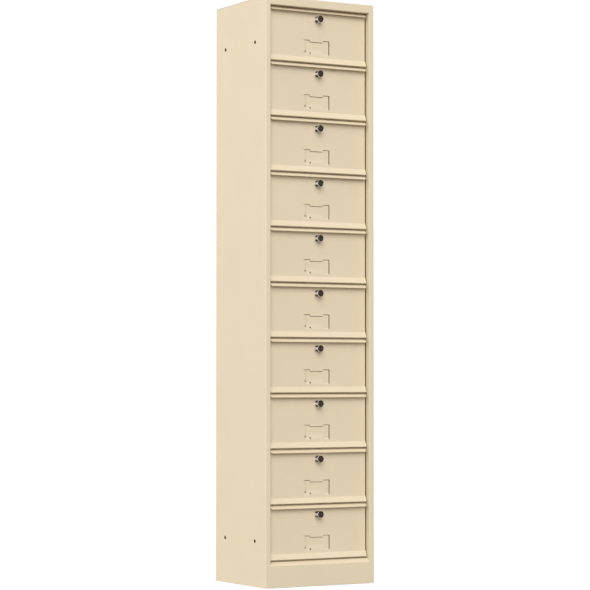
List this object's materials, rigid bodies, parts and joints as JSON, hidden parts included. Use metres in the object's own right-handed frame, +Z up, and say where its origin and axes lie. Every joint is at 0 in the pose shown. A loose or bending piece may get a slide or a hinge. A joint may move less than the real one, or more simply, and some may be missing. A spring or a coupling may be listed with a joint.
{
  "type": "flap door mail sorter",
  "caption": "Tall narrow sheet-steel mail sorter: stacked compartments behind drop-front flaps, each with a sloped pull, a cam lock and a pressed label pocket, on a plain plinth.",
  "frame": {"origin": "on the floor, at the bottom centre of the whole object's box", "axes": "+Z up, -Y out of the front, +X to the right of someone who faces the front"},
  "size_m": [0.3426, 0.2818, 1.5938],
  "materials": {
    "ivory_paint": "smooth satin powder coat",
    "lock_chrome": "bright plated",
    "lock_dark_metal": "dark plated",
    "hinge_rod_steel": "plain drawn steel"
  },
  "bodies": {
    "cabinet": {"side_left": "ivory_paint", "side_right": "ivory_paint", "stile_left": "ivory_paint", "stile_right": "ivory_paint", "rear_flange_left": "ivory_paint", "rear_flange_right": "ivory_paint", "back_panel": "ivory_paint", "top_panel": "ivory_paint", "plinth": "ivory_paint", "bottom_shelf": "ivory_paint", "shelf_1": "ivory_paint", "shelf_2": "ivory_paint", "shelf_3": "ivory_paint", "shelf_4": "ivory_paint", "shelf_5": "ivory_paint", "shelf_6": "ivory_paint", "shelf_7": "ivory_paint", "shelf_8": "ivory_paint", "shelf_9": "ivory_paint", "hinge_rod_1": "hinge_rod_steel", "hinge_rod_2": "hinge_rod_steel", "hinge_rod_3": "hinge_rod_steel", "hinge_rod_4": "hinge_rod_steel", "hinge_rod_5": "hinge_rod_steel", "hinge_rod_6": "hinge_rod_steel", "hinge_rod_7": "hinge_rod_steel", "hinge_rod_8": "hinge_rod_steel", "hinge_rod_9": "hinge_rod_steel", "hinge_rod_10": "hinge_rod_steel"},
    "flap_door_1": {"flap_1": "ivory_paint", "lock_housing_1": "lock_chrome"},
    "lock_1": {"lock_barrel_1": "lock_dark_metal"},
    "flap_door_2": {"flap_2": "ivory_paint", "lock_housing_2": "lock_chrome"},
    "lock_2": {"lock_barrel_2": "lock_dark_metal"},
    "flap_door_3": {"flap_3": "ivory_paint", "lock_housing_3": "lock_chrome"},
    "lock_3": {"lock_barrel_3": "lock_dark_metal"},
    "flap_door_4": {"flap_4": "ivory_paint", "lock_housing_4": "lock_chrome"},
    "lock_4": {"lock_barrel_4": "lock_dark_metal"},
    "flap_door_5": {"flap_5": "ivory_paint", "lock_housing_5": "lock_chrome"},
    "lock_5": {"lock_barrel_5": "lock_dark_metal"},
    "flap_door_6": {"flap_6": "ivory_paint", "lock_housing_6": "lock_chrome"},
    "lock_6": {"lock_barrel_6": "lock_dark_metal"},
    "flap_door_7": {"flap_7": "ivory_paint", "lock_housing_7": "lock_chrome"},
    "lock_7": {"lock_barrel_7": "lock_dark_metal"},
    "flap_door_8": {"flap_8": "ivory_paint", "lock_housing_8": "lock_chrome"},
    "lock_8": {"lock_barrel_8": "lock_dark_metal"},
    "flap_door_9": {"flap_9": "ivory_paint", "lock_housing_9": "lock_chrome"},
    "lock_9": {"lock_barrel_9": "lock_dark_metal"},
    "flap_door_10": {"flap_10": "ivory_paint", "lock_housing_10": "lock_chrome"},
    "lock_10": {"lock_barrel_10": "lock_dark_metal"}
  },
  "joints": [
    {"name": "flap_1_hinge", "type": "hinge", "parent": "cabinet", "child": "flap_door_1", "pos_m": [0, -0.1263, 1.4255], "axis": [1, 0, 0], "range_deg": [0, 90]},
    {"name": "lock_1_turn", "type": "hinge", "parent": "flap_door_1", "child": "lock_1", "pos_m": [0, -0.1234, 1.5427], "axis": [0, -1, 0], "range_deg": [0, 90]},
    {"name": "flap_2_hinge", "type": "hinge", "parent": "cabinet", "child": "flap_door_2", "pos_m": [0, -0.1263, 1.2755], "axis": [1, 0, 0], "range_deg": [0, 90]},
    {"name": "lock_2_turn", "type": "hinge", "parent": "flap_door_2", "child": "lock_2", "pos_m": [0, -0.1234, 1.3927], "axis": [0, -1, 0], "range_deg": [0, 90]},
    {"name": "flap_3_hinge", "type": "hinge", "parent": "cabinet", "child": "flap_door_3", "pos_m": [0, -0.1263, 1.1255], "axis": [1, 0, 0], "range_deg": [0, 90]},
    {"name": "lock_3_turn", "type": "hinge", "parent": "flap_door_3", "child": "lock_3", "pos_m": [0, -0.1234, 1.2427], "axis": [0, -1, 0], "range_deg": [0, 90]},
    {"name": "flap_4_hinge", "type": "hinge", "parent": "cabinet", "child": "flap_door_4", "pos_m": [0, -0.1263, 0.9755], "axis": [1, 0, 0], "range_deg": [0, 90]},
    {"name": "lock_4_turn", "type": "hinge", "parent": "flap_door_4", "child": "lock_4", "pos_m": [0, -0.1234, 1.0927], "axis": [0, -1, 0], "range_deg": [0, 90]},
    {"name": "flap_5_hinge", "type": "hinge", "parent": "cabinet", "child": "flap_door_5", "pos_m": [0, -0.1263, 0.8255], "axis": [1, 0, 0], "range_deg": [0, 90]},
    {"name": "lock_5_turn", "type": "hinge", "parent": "flap_door_5", "child": "lock_5", "pos_m": [0, -0.1234, 0.9427], "axis": [0, -1, 0], "range_deg": [0, 90]},
    {"name": "flap_6_hinge", "type": "hinge", "parent": "cabinet", "child": "flap_door_6", "pos_m": [0, -0.1263, 0.6755], "axis": [1, 0, 0], "range_deg": [0, 90]},
    {"name": "lock_6_turn", "type": "hinge", "parent": "flap_door_6", "child": "lock_6", "pos_m": [0, -0.1234, 0.7927], "axis": [0, -1, 0], "range_deg": [0, 90]},
    {"name": "flap_7_hinge", "type": "hinge", "parent": "cabinet", "child": "flap_door_7", "pos_m": [0, -0.1263, 0.5255], "axis": [1, 0, 0], "range_deg": [0, 90]},
    {"name": "lock_7_turn", "type": "hinge", "parent": "flap_door_7", "child": "lock_7", "pos_m": [0, -0.1234, 0.6427], "axis": [0, -1, 0], "range_deg": [0, 90]},
    {"name": "flap_8_hinge", "type": "hinge", "parent": "cabinet", "child": "flap_door_8", "pos_m": [0, -0.1263, 0.3755], "axis": [1, 0, 0], "range_deg": [0, 90]},
    {"name": "lock_8_turn", "type": "hinge", "parent": "flap_door_8", "child": "lock_8", "pos_m": [0, -0.1234, 0.4927], "axis": [0, -1, 0], "range_deg": [0, 90]},
    {"name": "flap_9_hinge", "type": "hinge", "parent": "cabinet", "child": "flap_door_9", "pos_m": [0, -0.1263, 0.2255], "axis": [1, 0, 0], "range_deg": [0, 90]},
    {"name": "lock_9_turn", "type": "hinge", "parent": "flap_door_9", "child": "lock_9", "pos_m": [0, -0.1234, 0.3427], "axis": [0, -1, 0], "range_deg": [0, 90]},
    {"name": "flap_10_hinge", "type": "hinge", "parent": "cabinet", "child": "flap_door_10", "pos_m": [0, -0.1263, 0.0755], "axis": [1, 0, 0], "range_deg": [0, 90]},
    {"name": "lock_10_turn", "type": "hinge", "parent": "flap_door_10", "child": "lock_10", "pos_m": [0, -0.1234, 0.1927], "axis": [0, -1, 0], "range_deg": [0, 90]}
  ]
}
